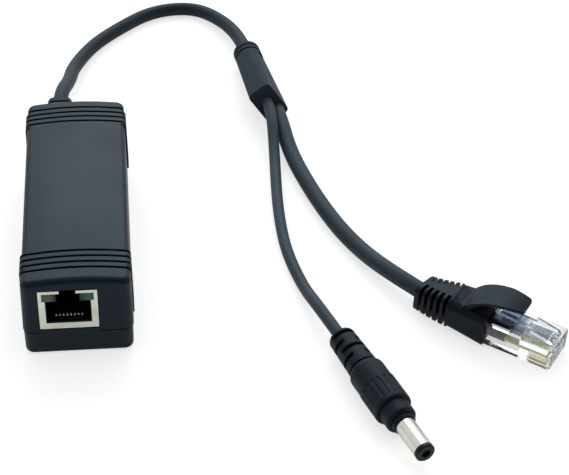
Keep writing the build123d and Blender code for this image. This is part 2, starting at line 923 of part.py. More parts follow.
def network_plug_jacket():
    """End of the cord's jacket, pressed flat in the cable hole."""
    middle = cable_hole_floor + jacket_height / 2
    section = RectangleRounded(jacket_width, jacket_height, jacket_height / 2 - shell_gap)
    plane = Plane((0, 0, middle), x_dir=(0, 1, 0), z_dir=(1, 0, 0))
    return network_plug_location() * extrude(plane * section, amount=core_wire_start)


def tail_plane(distance):
    """Plane across the boot's tail, at a distance behind its body, along the tail's bend."""
    radius = tail_length / math.sin(math.radians(tail_bend))
    angle = math.asin(distance / radius)
    x = -boot_body_length - distance
    y = radius * (1 - math.cos(angle))
    waist_middle = waist_height / 2 - boot_wall
    z = waist_middle + (tail_drop - waist_middle) * distance / tail_length
    across_tail = (math.sin(angle), math.cos(angle), 0)
    along_tail = (math.cos(angle), -math.sin(angle), 0)
    return Plane((x, y, z), x_dir=across_tail, z_dir=along_tail)


def tail_slots():
    """Slots round the tail, which leave a spine above the cord, wider toward the plug, and one below."""
    slots = Part()
    for index in range(tail_slot_count):
        distance = tail_slot_first + index * tail_slot_pitch
        share = 1 - distance / tail_length
        top_spine = top_spine_rear + share * (top_spine_front - top_spine_rear)
        core = Circle(network_cord_diameter / 2 + tail_slot_wall)
        core += Location((0, waist_height / 2)) * Rectangle(top_spine, waist_height)
        core += Location((0, -waist_height / 2)) * Rectangle(bottom_spine, waist_height)
        ring = Rectangle(2 * waist_width, 2 * waist_height) - core
        slots += extrude(tail_plane(distance) * ring, amount=tail_slot_width / 2, both=True)
    return slots


def boot_hood():
    """Thin hood that rises from the boot and reaches forward over the latch lever."""
    lever_top = plug_height + lever_tail_rise + lever_thickness
    under = lever_top + hood_clearance
    top = under + hood_roof
    rear = heel_height + boot_wall
    upper = Spline(
        (hood_rear_x, rear - hood_roof),
        (hood_rise_x, rear + hood_rise + hood_roof),
        (hood_top_x, top),
        (hood_tip_x, top - hood_tip_drop),
    )
    lower = Spline(
        (hood_tip_x, under - hood_tip_drop),
        (hood_top_x, under),
        (hood_rise_x, rear + hood_rise),
        (hood_mouth_x, rear),
    )
    rest = Polyline((hood_mouth_x, rear), (hood_mouth_x, heel_height / 2), (hood_rear_x, heel_height / 2),
                    (hood_rear_x, rear - hood_roof))
    tip = Line((hood_tip_x, top - hood_tip_drop), (hood_tip_x, under - hood_tip_drop))
    hood = extrude(Plane.XZ * make_face(upper + tip + lower + rest), amount=hood_width_rear, both=True)
    plan = Polyline(
        (hood_rear_x, -hood_width_rear / 2),
        (hood_mouth_x, -hood_width_rear / 2),
        (hood_top_x, -hood_width_middle / 2),
        (hood_tip_x, -hood_width_tip / 2),
        (hood_tip_x, hood_width_tip / 2),
        (hood_top_x, hood_width_middle / 2),
        (hood_mouth_x, hood_width_rear / 2),
        (hood_rear_x, hood_width_rear / 2),
        close=True,
    )
    hood &= extrude(make_face(plan), amount=2 * top)
    return fillet(hood.edges().filter_by(Axis.Z).group_by(Axis.X)[-1], hood_corner)


def network_plug_boot():
    """Boot moulded round the plug's heel, with a slotted tail and a hood over the latch lever."""
    front_width = plug_width + 2 * boot_wall
    front_height = heel_height + 2 * boot_wall
    centre = (boot_cover_length, 0, front_height / 2 - boot_wall)
    front_plane = Plane(centre, x_dir=(0, 1, 0), z_dir=(1, 0, 0))
    front = front_plane * RectangleRounded(front_width, front_height, boot_corner)
    waist = tail_plane(0) * RectangleRounded(waist_width, waist_height, tail_width / 3)
    tail = tail_plane(tail_length) * RectangleRounded(tail_width, tail_height, tail_width / 3)
    body = loft([waist, front])
    body += loft([tail, waist]) - tail_slots()
    body += boot_hood()
    body -= plug_slab(0, boot_cover_length, plug_width, 0, heel_height)
    return network_plug_location() * body


subparts = {
    "top_cover": top_cover,
    "bottom_cover": bottom_cover,
    "circuit_board": circuit_board,
    "jack_shield": jack_shield,
    "jack_housing": jack_housing,
    "jack_contacts": jack_contacts,
    "jack_lamp_left": lambda: jack_lamp(-1),
    "jack_lamp_right": lambda: jack_lamp(1),
    "lan_transformer": lan_transformer,
    "bridge_rectifiers": bridge_rectifiers,
    "transformer_core": transformer_core,
    "transformer_coil": transformer_coil,
    "controller_chip": controller_chip,
    "feedback_coupler": feedback_coupler,
    "output_diode": output_diode,
    "input_capacitor": lambda: capacitor(1, input_row),
    "output_capacitor": lambda: capacitor(-1, output_row),
    "filter_inductor": filter_inductor,
    "lead_wires": lead_wires,
    "cord_grommet": cord_grommet,
    "main_cord": lambda: cord("main_cord", main_route, main_cord_diameter),
    "y_junction": y_junction,
    "power_cord": lambda: cord("power_cord", power_route, power_cord_diameter),
    "network_cord": lambda: cord("network_cord", network_route, network_cord_diameter),
    "power_plug_grip": power_plug_grip,
    "power_plug_barrel": power_plug_barrel,
    "power_plug_insulator": power_plug_insulator,
    "power_plug_spring": power_plug_spring,
    "network_plug_boot": network_plug_boot,
    "network_plug_body": network_plug_body,
    "network_plug_contacts": network_plug_contacts,
    "network_plug_wires": network_plug_wires,
    "network_plug_jacket": network_plug_jacket,
}

os.makedirs("parts", exist_ok=True)
for name, build in subparts.items():
    export_step(build(), "parts/" + name + ".step")
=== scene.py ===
"""Finishes, cords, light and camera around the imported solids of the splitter.

Metres, in the frame of the solids: the origin is under the middle of the case, +X to the right
seen from the jack face, +Y toward the cord end, +Z up.
"""
import math

import bmesh
import bpy
from mathutils import Matrix, Vector


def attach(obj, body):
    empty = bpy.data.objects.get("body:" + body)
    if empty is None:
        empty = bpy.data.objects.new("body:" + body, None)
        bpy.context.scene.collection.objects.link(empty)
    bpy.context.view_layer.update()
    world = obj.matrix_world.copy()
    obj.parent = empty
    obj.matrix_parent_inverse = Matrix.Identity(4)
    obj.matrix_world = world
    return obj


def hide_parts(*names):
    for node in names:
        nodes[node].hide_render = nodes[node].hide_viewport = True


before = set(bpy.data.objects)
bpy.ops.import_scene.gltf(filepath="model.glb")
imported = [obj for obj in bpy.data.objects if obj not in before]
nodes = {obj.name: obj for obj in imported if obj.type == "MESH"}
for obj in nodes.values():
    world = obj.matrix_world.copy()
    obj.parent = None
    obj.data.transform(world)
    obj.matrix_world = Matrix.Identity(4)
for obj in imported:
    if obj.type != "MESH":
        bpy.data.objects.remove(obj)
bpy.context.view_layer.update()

MM = 0.001

# Camera, solved from the corners of the case and the jack
FOCAL_PIXELS = 1662.1
IMAGE_WIDTH = 569
SENSOR_WIDTH = 36.0
CAMERA_PLACE = (0.01753, -0.39022, 0.30766)
CAMERA_ELEVATION = 37.876
CAMERA_YAW = -6.341
CAMERA_ROLL = 1.333

# Cords in millimetres, from the object outward
MAIN_ROUTE = [
    (-5.7, 61.1, 12.0),
    (-5.7, 69.0, 12.0),
    (-3.1, 83.8, 7.2),
    (-2.4, 97.3, 3.4),
    (4.3, 113.7, 2.3),
    (14.5, 125.5, 2.3),
    (25.5, 135.5, 2.3),
    (38.2, 137.8, 2.3),
    (47.0, 132.4, 2.6),
    (55.59, 115.67, 4.18),
    (57.45, 100.8, 5.1),
]
POWER_ROUTE = [
    (61.28, 65.05, 8.32),
    (62.15, 58.1, 8.75),
    (61.8, 42.3, 2.8),
    (60.8, 25.5, 1.75),
    (60.3, 9.5, 1.75),
    (60.9, -6.3, 1.75),
    (64.1, -22.9, 1.75),
    (67.02, -36.1, 5.3),
    (71.69, -49.52, 5.3),
]
NETWORK_ROUTE = [
    (64.41, 65.26, 4.9),
    (65.22, 58.8, 5.3),
    (66.9, 43.1, 2.6),
    (71.8, 21.5, 2.5),
    (77.3, 3.8, 2.5),
    (83.7, -9.7, 2.5),
    (90.9, -24.0, 5.2),
    (97.6, -31.4, 4.8),
]
MAIN_DIAMETER = 4.6
POWER_DIAMETER = 3.5
NETWORK_DIAMETER = 5.0

# Network plug's frame in millimetres, at the middle of its rear bottom edge with +X toward its nose
PLUG_PLACE = (113.8, -44.45, 0.98)
PLUG_HEADING = -35.6
PLUG_TILT = 2.5
WIRE_PITCH = 1.016

# Painted shade on the tail of the latch lever under the boot's hood, in that frame: where it fades along X
# and Z, and its colour
HOOD_SHADE = (10.5, 13.0)
LEVER_SHADE = (7.3, 7.9)
LEVER_SHADE_COLOUR = (0.20, 0.24, 0.32)

# Tail of the boot in that frame, as its solid has it, with squarer and thinner rings
WAIST_SIZE = (11.4, 10.0)
TAIL_SIZE = (8.8, 8.4)
WAIST_PLACE = (-10.0, 4.15)
TAIL_HEIGHT = 2.95
TAIL_LENGTH = 10.9
TAIL_BEND = 12.2
WAIST_ROUNDING = 2.9
TAIL_ROOT = (-0.3, -0.1)
RING_ROUNDING = 1.9
RING_COUNT = 6
RING_FIRST = 0.65
RING_PITCH = 2.04
RING_GROWTH = 0.02
CORE_RADIUS = 3.3
SLOT_COUNT = 5
SLOT_FIRST = 1.3
SLOT_PITCH = 1.9
SLOT_WIDTH = 1.15
TOP_SPINE = (5.2, 1.5)
BOTTOM_SPINE = 1.4
SLOT_REACH = 9.0

# Reach at which points of the boot are joined: before its cuts in millimetres, after them in metres
SOLID_WELD = 0.001
CUT_WELD = 0.0000001

# Collar round the root of the power plug's barrel, along and from the plug's axis
POWER_PLUG_HEADING = -70.8
COLLAR_START = 35.9
COLLAR_END = 37.8
COLLAR_BORE = 2.78
COLLAR_RADIUS = 3.2
COLLAR_EDGE = 0.35

# Jack in millimetres: its middle, its front, the floor of its opening and the tips of its springs
JACK_X = -2.3
JACK_FRONT = -44.15
JACK_FLOOR = 11.15
SPRING_COUNT = 8
TIP_BEHIND_FRONT = 2.3
TIP_RADIUS = 0.29
TIP_BEND = [(1.6, TIP_RADIUS), (0.3, TIP_RADIUS), (0.0, 0.4), (0.2, 0.72), (1.1, 0.86)]
LAMP_INNER = 3.35
LAMP_OUTER = 7.05

# Finish of plastics and metals: sizes in metres, and edges and clouds as factors of the colour
SPECULAR_TINT = (0.55, 0.77, 0.96)
PLASTIC_CLOUD = 0.018
PLASTIC_PALER = 1.25
PLASTIC_DARKER = 0.85
# Paler plastic edges stand for wear and for a painted highlight
PLASTIC_WORN_AND_SHEEN = 1.4
PLASTIC_EDGE = 0.0005
METAL_CLOUD = 0.004
METAL_GRAIN = 0.0004
METAL_WORN = 1.15
METAL_EDGE = 0.0002
BEVEL_SAMPLES = 4
EDGE_RANGE = (0.995, 0.8)
VINYL = {"grain": 0.0005, "specular": 0.26}
RUBBER = {"grain": 0.0005, "specular": 0.12}
FERRITE = {"relief": 0.00003}
THICK_CORD = {"grain": 0.0004, "specular": 0.38}
THIN_CORD = {"grain": 0.0004, "specular": 0.42}

# Moulded materials: name, colour, roughness, other settings and the solids that they dress
PLASTICS = [
    ("case_plastic", (0.0052, 0.0074, 0.0108), 0.42, {}, ["top_cover", "bottom_cover"]),
    ("jack_plastic", (0.006, 0.006, 0.007), 0.35, {}, ["jack_housing"]),
    ("moulded_vinyl", (0.0050, 0.0062, 0.0092), 0.46, VINYL, []),
    ("relief_vinyl", (0.010, 0.012, 0.016), 0.5, VINYL, ["cord_grommet", "power_plug_grip"]),
    ("junction_vinyl", (0.038, 0.048, 0.064), 0.6, RUBBER, ["y_junction"]),
    ("flattened_jacket", (0.012, 0.013, 0.016), 0.4, {}, ["network_plug_jacket"]),
    ("insulator_plastic", (0.009, 0.009, 0.010), 0.3, {}, ["power_plug_insulator"]),
    ("component_epoxy", (0.018, 0.018, 0.018), 0.5, {}, [
        "lan_transformer",
        "bridge_rectifiers",
        "controller_chip",
        "feedback_coupler",
        "output_diode",
    ]),
    ("ferrite", (0.03, 0.029, 0.028), 0.55, FERRITE, ["transformer_core", "filter_inductor"]),
    ("winding_tape", (0.55, 0.38, 0.05), 0.3, {}, ["transformer_coil"]),
    ("capacitor_sleeve", (0.02, 0.03, 0.09), 0.3, {}, ["input_capacitor", "output_capacitor"]),
    ("lead_insulation", (0.5, 0.05, 0.04), 0.35, {}, ["lead_wires"]),
]

# Metals: name, colour, roughness, colour of the stains and the solids that they dress
METALS = [
    ("tinned_sheet", (0.88, 0.88, 0.78), 0.36, (0.74, 0.74, 0.64), ["jack_shield"]),
    ("bright_nickel", (0.92, 0.89, 0.80), 0.16, (0.82, 0.78, 0.68), ["power_plug_barrel"]),
    ("gilt", (0.84, 0.74, 0.50), 0.22, (0.74, 0.64, 0.42), ["network_plug_contacts", "power_plug_spring"]),
    # The jack's springs are near black in place of their gilt, as painted shade
    ("shaded_springs", (0.05, 0.04, 0.02), 0.5, (0.03, 0.025, 0.015), ["jack_contacts"]),
]

# Insulation of the eight wires in the network plug, from its near side to its far side
WIRE_COLOURS = [
    (0.98, 0.95, 0.42),
    (0.98, 0.96, 0.48),
    (0.97, 0.97, 0.62),
    (0.95, 0.96, 0.98),
    (0.16, 0.13, 0.50),
    (0.72, 0.80, 0.92),
    (0.55, 0.72, 0.86),
    (0.70, 0.84, 0.90),
]

# Light from ahead of and behind the object, the floor, and the lamp above and behind the object
FRONT_LIGHT = 0.22
BACK_LIGHT = 0.85
FRONT_COLOUR = (1.0, 0.97, 0.94)
BACK_COLOUR = (0.86, 0.95, 1.0)
FLOOR_TONE = (0.72, 0.715, 0.70)
FLOOR_GLOW = 0.66
FLOOR_REACH = 3.0
GLOSSY_SHARE = 0.5
LIGHT_TURN = 0.7
KEY_PLACE = (0.1, 0.9, 0.75)
KEY_TARGET = (0.03, 0.04, 0.0)
KEY_SIZE = 0.8
KEY_POWER = 3.8
KEY_COLOUR = (0.90, 0.97, 1.0)


def placed(name, data):
    """New object in the scene with the data."""
    piece = bpy.data.objects.new(name, data)
    bpy.context.scene.collection.objects.link(piece)
    return piece


def blank_material(name):
    """Material with one principled shader, its node tree and that shader."""
    material = bpy.data.materials.new(name)
    material.use_nodes = True
    tree = material.node_tree
    tree.nodes.clear()
    output = tree.nodes.new("ShaderNodeOutputMaterial")
    shader = tree.nodes.new("ShaderNodeBsdfPrincipled")
    tree.links.new(shader.outputs["BSDF"], output.inputs["Surface"])
    return material, tree, shader


def place_in(tree, matrix=None):
    """Place of a point on the surface, in the frame of the solids or in one moved by matrix."""
    coordinates = tree.nodes.new("ShaderNodeTexCoord")
    if matrix is None:
        return coordinates.outputs["Object"]
    mapping = tree.nodes.new("ShaderNodeMapping")
    mapping.vector_type = "TEXTURE"
    mapping.inputs["Location"].default_value = matrix.to_translation()
    mapping.inputs["Rotation"].default_value = matrix.to_euler()
    tree.links.new(coordinates.outputs["Object"], mapping.inputs["Vector"])
    return mapping.outputs["Vector"]


def axes(tree, vector):
    """X, Y and Z of a vector."""
    split = tree.nodes.new("ShaderNodeSeparateXYZ")
    tree.links.new(vector, split.inputs["Vector"])
    return split.outputs


def calculated(tree, operation, first, second=None):
    """Result of a Math node on a value, and on a second value or a number where it takes two."""
    node = tree.nodes.new("ShaderNodeMath")
    node.operation = operation
    tree.links.new(first, node.inputs[0])
    if isinstance(second, bpy.types.NodeSocket):
        tree.links.new(second, node.inputs[1])
    elif second is not None:
        node.inputs[1].default_value = second
    return node.outputs["Value"]


def noise(tree, size, detail=3.0):
    """Noise with features of about the given size in metres, from 0 to 1."""
    scaled = tree.nodes.new("ShaderNodeVectorMath")
    scaled.operation = "MULTIPLY"
    scaled.inputs[1].default_value = [1 / size] * 3
    texture = tree.nodes.new("ShaderNodeTexNoise")
    texture.inputs["Scale"].default_value = 1.0
    texture.inputs["Detail"].default_value = detail
    tree.links.new(place_in(tree), scaled.inputs[0])
    tree.links.new(scaled.outputs["Vector"], texture.inputs["Vector"])
    return texture.outputs["Fac"]


def spread(tree, value, low, high, start=0.3, end=0.7):
    """Value between start and end, spread over the range from low to high."""
    mapped = tree.nodes.new("ShaderNodeMapRange")
    mapped.inputs["From Min"].default_value = start
    mapped.inputs["From Max"].default_value = end
    mapped.inputs["To Min"].default_value = low
    mapped.inputs["To Max"].default_value = high
    tree.links.new(value, mapped.inputs["Value"])
    return mapped.outputs["Result"]


def blended(tree, factor, first, second):
    """Colour between first and second, each a colour or the output of a node."""
    mix = tree.nodes.new("ShaderNodeMix")
    mix.data_type = "RGBA"
    tree.links.new(factor, mix.inputs["Factor"])
    for socket, colour in ((mix.inputs["A"], first), (mix.inputs["B"], second)):
        if isinstance(colour, bpy.types.NodeSocket):
            tree.links.new(colour, socket)
        else:
            socket.default_value = (*colour, 1)
    return mix.outputs["Result"]


def softened(tree, radius):
    """Normal that turns smoothly over the edges of the surface."""
    bevel = tree.nodes.new("ShaderNodeBevel")
    bevel.samples = BEVEL_SAMPLES
    bevel.inputs["Radius"].default_value = radius
    return bevel.outputs["Normal"]


def edge_mask(tree, radius):
    """One on the edges of the surface and zero away from them."""
    geometry = tree.nodes.new("ShaderNodeNewGeometry")
    dot = tree.nodes.new("ShaderNodeVectorMath")
    dot.operation = "DOT_PRODUCT"
    tree.links.new(softened(tree, radius), dot.inputs[0])
    tree.links.new(geometry.outputs["Normal"], dot.inputs[1])
    return spread(tree, dot.outputs["Value"], 0, 1, *EDGE_RANGE)


def bumped(tree, shader, value, height, edge=0.0):
    """Surface relief of a height in metres, on edges softened by the radius edge."""
    bump = tree.nodes.new("ShaderNodeBump")
    bump.inputs["Distance"].default_value = height
    tree.links.new(value, bump.inputs["Height"])
    if edge:
        tree.links.new(softened(tree, edge), bump.inputs["Normal"])
    tree.links.new(bump.outputs["Normal"], shader.inputs["Normal"])


def shade(colour, factor):
    """Colour times a factor, with each channel at most one."""
    return [min(channel * factor, 1) for channel in colour]


def moulded(name, colour, roughness, grain=0.00035, relief=0.000006, specular=0.35):
    """Moulded plastic with a fine texture, a slow change of tone and smoother edges, paler from wear and from
    a painted highlight.
    """
    material, tree, shader = blank_material(name)
    cloud = noise(tree, PLASTIC_CLOUD, 4.0)
    fine = noise(tree, grain, 2.0)
    darker = shade(colour, PLASTIC_DARKER)
    paler = shade(colour, PLASTIC_PALER)
    tone = blended(tree, spread(tree, cloud, 0, 1), darker, paler)
    # Paler edges: wear and a painted highlight
    tone = blended(tree, edge_mask(tree, PLASTIC_EDGE), tone, shade(colour, PLASTIC_WORN_AND_SHEEN))
    tree.links.new(tone, shader.inputs["Base Color"])
    rough = spread(tree, cloud, roughness - 0.03, roughness + 0.04)
    tree.links.new(rough, shader.inputs["Roughness"])
    shader.inputs["Specular IOR Level"].default_value = specular
    shader.inputs["Specular Tint"].default_value = (*SPECULAR_TINT, 1)
    bumped(tree, shader, fine, relief, 0.00025)
    return material


def metal(name, colour, roughness, stain, relief=0.000003):
    """Plated or rolled metal with faint stains, fine marks and brighter edges."""
    material, tree, shader = blank_material(name)
    cloud = noise(tree, METAL_CLOUD, 4.0)
    marks = noise(tree, METAL_GRAIN)
    tone = blended(tree, spread(tree, cloud, 0, 1), colour, stain)
    tone = blended(tree, edge_mask(tree, METAL_EDGE), tone, shade(colour, METAL_WORN))
    tree.links.new(tone, shader.inputs["Base Color"])
    tree.links.new(spread(tree, marks, roughness * 0.8, roughness * 1.3), shader.inputs["Roughness"])
    shader.inputs["Metallic"].default_value = 1.0
    bumped(tree, shader, marks, relief, 0.0001)
    return material


def lamp_plastic(name, colour):
    """Cloudy translucent plastic of an unlit indicator lamp, darker toward the latch slot."""
    material, tree, shader = blank_material(name)
    cloud = noise(tree, 0.0015, 3.0)
    tone = blended(tree, spread(tree, cloud, 0, 1), shade(colour, 0.6), colour)
    aside = calculated(tree, "SUBTRACT", axes(tree, place_in(tree))["X"], JACK_X * MM)
    apart = calculated(tree, "ABSOLUTE", aside)
    inner = LAMP_INNER * MM
    middle = (LAMP_INNER + LAMP_OUTER) / 2 * MM
    tone = blended(tree, spread(tree, apart, 0, 1, inner, middle), (0.01, 0.012, 0.01), tone)
    tree.links.new(tone, shader.inputs["Base Color"])
    tree.links.new(spread(tree, cloud, 0.22, 0.34), shader.inputs["Roughness"])
    shader.inputs["Transmission Weight"].default_value = 0.25
    shader.inputs["IOR"].default_value = 1.5
    bumped(tree, shader, noise(tree, 0.0006), 0.00001, 0.00015)
    return material


def lever_shade_mask(tree):
    """One on the tail of the latch lever, which lies under the boot's hood, and zero elsewhere: the mask of
    its painted shade.
    """
    place = axes(tree, place_in(tree, plug_frame()))
    behind = spread(tree, place["X"], 1, 0, HOOD_SHADE[0] * MM, HOOD_SHADE[1] * MM)
    above = spread(tree, place["Z"], 0, 1, LEVER_SHADE[0] * MM, LEVER_SHADE[1] * MM)
    return calculated(tree, "MULTIPLY", behind, above)


def clear_plastic():
    """Clear moulded plastic of the network plug, with faint flow marks and a painted shade on the lever's
    tail under the hood.
    """
    material, tree, shader = blank_material("clear_plastic")
    cloud = noise(tree, 0.004, 3.0)
    tone = blended(tree, spread(tree, cloud, 0, 1), (0.95, 0.97, 0.98), (0.98, 0.98, 0.97))
    # Painted shade: the lever's tail under the hood turns dark grey-blue
    tone = blended(tree, lever_shade_mask(tree), tone, LEVER_SHADE_COLOUR)
    tree.links.new(tone, shader.inputs["Base Color"])
    tree.links.new(spread(tree, cloud, 0.02, 0.07), shader.inputs["Roughness"])
    shader.inputs["Transmission Weight"].default_value = 1.0
    shader.inputs["IOR"].default_value = 1.52
    bumped(tree, shader, noise(tree, 0.0025, 2.0), 0.00003, 0.0002)
    return material


def plug_frame():
    """Matrix of the network plug's frame."""
    turn = Matrix.Rotation(math.radians(PLUG_HEADING), 4, "Z")
    tilt = Matrix.Rotation(math.radians(PLUG_TILT), 4, "Y")
    return Matrix.Translation(Vector(PLUG_PLACE) * MM) @ turn @ tilt


def core_insulation():
    """Coloured insulation of the eight wires in the network plug, each with its own colour."""
    material, tree, shader = blank_material("core_insulation")
    half = len(WIRE_COLOURS) / 2 * WIRE_PITCH * MM
    share = spread(tree, axes(tree, place_in(tree, plug_frame()))["Y"], 0, 1, -half, half)
    ramp = tree.nodes.new("ShaderNodeValToRGB")
    ramp.color_ramp.interpolation = "CONSTANT"
    elements = ramp.color_ramp.elements
    for index, colour in enumerate(WIRE_COLOURS):
        place = index / len(WIRE_COLOURS)
        element = elements[index] if index < len(elements) else elements.new(place)
        element.position = place
        element.color = (*colour, 1)
    tree.links.new(share, ramp.inputs["Fac"])
    cloud = noise(tree, 0.002)
    tone = blended(tree, spread(tree, cloud, 0, 0.2), ramp.outputs["Color"], (0.9, 0.9, 0.9))
    tree.links.new(tone, shader.inputs["Base Color"])
    tree.links.new(spread(tree, cloud, 0.3, 0.45), shader.inputs["Roughness"])
    bumped(tree, shader, cloud, 0.00001)
    return material


def board_laminate():
    """Circuit board with solder mask over copper tracks."""
    material, tree, shader = blank_material("board_laminate")
    cloud = noise(tree, 0.01)
    bricks = tree.nodes.new("ShaderNodeTexBrick")
    bricks.inputs["Scale"].default_value = 160.0
    bricks.inputs["Mortar Size"].default_value = 0.03
    bricks.inputs["Color1"].default_value = (0.01, 0.10, 0.04, 1)
    bricks.inputs["Color2"].default_value = (0.012, 0.13, 0.05, 1)
    bricks.inputs["Mortar"].default_value = (0.03, 0.2, 0.08, 1)
    tree.links.new(place_in(tree), bricks.inputs["Vector"])
    tone = blended(tree, spread(tree, cloud, 0, 0.4), bricks.outputs["Color"], (0.008, 0.07, 0.03))
    tree.links.new(tone, shader.inputs["Base Color"])
    tree.links.new(spread(tree, cloud, 0.25, 0.4), shader.inputs["Roughness"])
    bumped(tree, shader, bricks.outputs["Fac"], 0.00003)
    return material


def rounded_outline(width, height, radius):
    """Points round a rectangle with rounded corners."""
    steps = 6
    points = []
    for corner, (side, rise) in enumerate(((1, 1), (-1, 1), (-1, -1), (1, -1))):
        for step in range(steps + 1):
            angle = math.radians(90 * (corner + step / steps))
            across = side * (width / 2 - radius) + radius * math.cos(angle)
            up = rise * (height / 2 - radius) + radius * math.sin(angle)
            points.append((across, up))
    return points


def lofted(sections):
    """Closed solid through rings of as many points each, as its vertices and faces."""
    count = len(sections[0])
    vertices = [point for section in sections for point in section]
    faces = [tuple(range(count)), tuple(range(len(vertices) - count, len(vertices)))]
    for start in range(0, len(vertices) - count, count):
        for index in range(count):
            first = start + index
            second = start + (index + 1) % count
            faces.append((first, second, second + count, first + count))
    return vertices, faces


def solid(name, parts):
    """Object of closed solids, each given as its vertices and faces."""
    shape = bmesh.new()
    for vertices, faces in parts:
        made = [shape.verts.new(vertex) for vertex in vertices]
        for face in faces:
            shape.faces.new([made[index] for index in face])
    bmesh.ops.recalc_face_normals(shape, faces=shape.faces)
    mesh = bpy.data.meshes.new(name)
    shape.to_mesh(mesh)
    shape.free()
    return placed(name, mesh)


def welded(mesh, distance):
    """Joins points within the distance, and drops empty faces and points amid a straight edge."""
    shape = bmesh.new()
    shape.from_mesh(mesh)
    bmesh.ops.remove_doubles(shape, verts=shape.verts, dist=distance)
    bmesh.ops.dissolve_degenerate(shape, edges=shape.edges, dist=distance)
    needless = [vertex for vertex in shape.verts if len(vertex.link_edges) == 2]
    bmesh.ops.dissolve_verts(shape, verts=needless)
    shape.to_mesh(mesh)
    shape.free()


def combined(piece, tools):
    """Mesh of a piece with each tool joined to it or cut from it. The tools are used up."""
    for tool, operation in tools:
        step = piece.modifiers.new(operation.lower(), "BOOLEAN")
        step.operation = operation
        step.solver = "EXACT"
        step.object = tool
    evaluated = piece.evaluated_get(bpy.context.evaluated_depsgraph_get())
    mesh = bpy.data.meshes.new_from_object(evaluated)
    piece.modifiers.clear()
    for tool, operation in tools:
        bpy.data.objects.remove(tool)
    return mesh


def tail_place(distance):
    """Matrix of the boot's tail at a distance behind its body: X across, Y up, Z toward the plug."""
    radius = TAIL_LENGTH / math.sin(math.radians(TAIL_BEND))
    angle = math.asin(distance / radius)
    across = (math.sin(angle), math.cos(angle), 0)
    along = (math.cos(angle), -math.sin(angle), 0)
    start, height = WAIST_PLACE
    height += (TAIL_HEIGHT - height) * distance / TAIL_LENGTH
    place = Matrix.Translation((start - distance, radius * (1 - math.cos(angle)), height))
    return place @ Matrix((across, (0, 0, 1), along)).transposed().to_4x4()


def tail_block():
    """Tail of the boot before its slots are cut, from just inside the boot's body."""
    sections = []
    stations = [(*TAIL_ROOT, WAIST_ROUNDING), (0.0, 0.0, WAIST_ROUNDING)]
    for step in range(RING_COUNT):
        stations.append((RING_FIRST + step * RING_PITCH, RING_GROWTH, RING_ROUNDING))
    for distance, growth, rounding in stations:
        share = distance / TAIL_LENGTH
        width = WAIST_SIZE[0] + share * (TAIL_SIZE[0] - WAIST_SIZE[0]) + growth
        height = WAIST_SIZE[1] + share * (TAIL_SIZE[1] - WAIST_SIZE[1]) + growth
        place = tail_place(distance)
        outline = rounded_outline(width, height, rounding)
        sections.append([place @ Vector((across, up, 0)) for across, up in outline])
    return lofted(sections)


def tail_slot(distance, side):
    """Slot on one side of the tail, between its top and bottom spines and down to its core."""
    share = distance / TAIL_LENGTH
    top = (TOP_SPINE[0] + share * (TOP_SPINE[1] - TOP_SPINE[0])) / 2
    bottom = BOTTOM_SPINE / 2
    upper = math.acos(top / CORE_RADIUS)
    lower = -math.acos(bottom / CORE_RADIUS)
    steps = 16
    angles = [upper + (lower - upper) * step / steps for step in range(steps + 1)]
    outline = [(CORE_RADIUS * math.cos(angle), CORE_RADIUS * math.sin(angle)) for angle in angles]
    outline += [(bottom, -SLOT_REACH), (SLOT_REACH, -SLOT_REACH), (SLOT_REACH, SLOT_REACH), (top, SLOT_REACH)]
    place = tail_place(distance)
    halves = (-SLOT_WIDTH / 2, SLOT_WIDTH / 2)
    return lofted([[place @ Vector((side * x, y, along)) for x, y in outline] for along in halves])


def finished(piece, material):
    """Gives a new rigid piece its material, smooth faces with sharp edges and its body."""
    mesh = piece.data
    mesh.materials.clear()
    mesh.materials.append(material)
    mesh.polygons.foreach_set("use_smooth", [True] * len(mesh.polygons))
    mesh.set_sharp_from_angle(angle=math.radians(30))
    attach(piece, "root")


def boot(material):
    """Boot of the network plug, made from its solid, with rings that stand clear of each other."""
    to_metres = plug_frame() @ Matrix.Scale(MM, 4)
    mesh = nodes["network_plug_boot"].data.copy()
    mesh.transform(to_metres.inverted())
    welded(mesh, SOLID_WELD)
    piece = placed("boot_skin", mesh)
    block = solid("tail_block", [tail_block()])
    distances = [SLOT_FIRST + index * SLOT_PITCH for index in range(SLOT_COUNT)]
    slots = solid("tail_slots", [tail_slot(distance, side) for distance in distances for side in (-1, 1)])
    piece.data = combined(piece, [(block, "UNION"), (slots, "DIFFERENCE")])
    piece.data.transform(to_metres)
    welded(piece.data, CUT_WELD)
    finished(piece, material)
    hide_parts("network_plug_boot")


def barrel_collar(material):
    """Short collar moulded round the root of the power plug's barrel."""
    outline = [
        (COLLAR_START, COLLAR_BORE),
        (COLLAR_START, COLLAR_RADIUS),
        (COLLAR_END - COLLAR_EDGE, COLLAR_RADIUS),
        (COLLAR_END - COLLAR_EDGE / 3, COLLAR_RADIUS - COLLAR_EDGE / 3),
        (COLLAR_END, COLLAR_RADIUS - COLLAR_EDGE),
        (COLLAR_END, COLLAR_BORE),
    ]
    turn = Matrix.Rotation(math.radians(POWER_PLUG_HEADING), 4, "Z")
    place = Matrix.Scale(MM, 4) @ Matrix.Translation(POWER_ROUTE[-1]) @ turn
    around = 48
    vertices = []
    faces = []
    for step in range(around):
        angle = 2 * math.pi * step / around
        for index, (along, radius) in enumerate(outline):
            vertices.append(place @ Vector((along, radius * math.cos(angle), radius * math.sin(angle))))
            beside = (index + 1) % len(outline)
            start = step * len(outline)
            following = (step + 1) % around * len(outline)
            faces.append((start + index, start + beside, following + beside, following + index))
    finished(solid("barrel_collar", [(vertices, faces)]), material)


def dressed(material, *names):
    """Gives the named solids one material."""
    for name in names:
        for slot in nodes[name].material_slots:
            slot.material = material


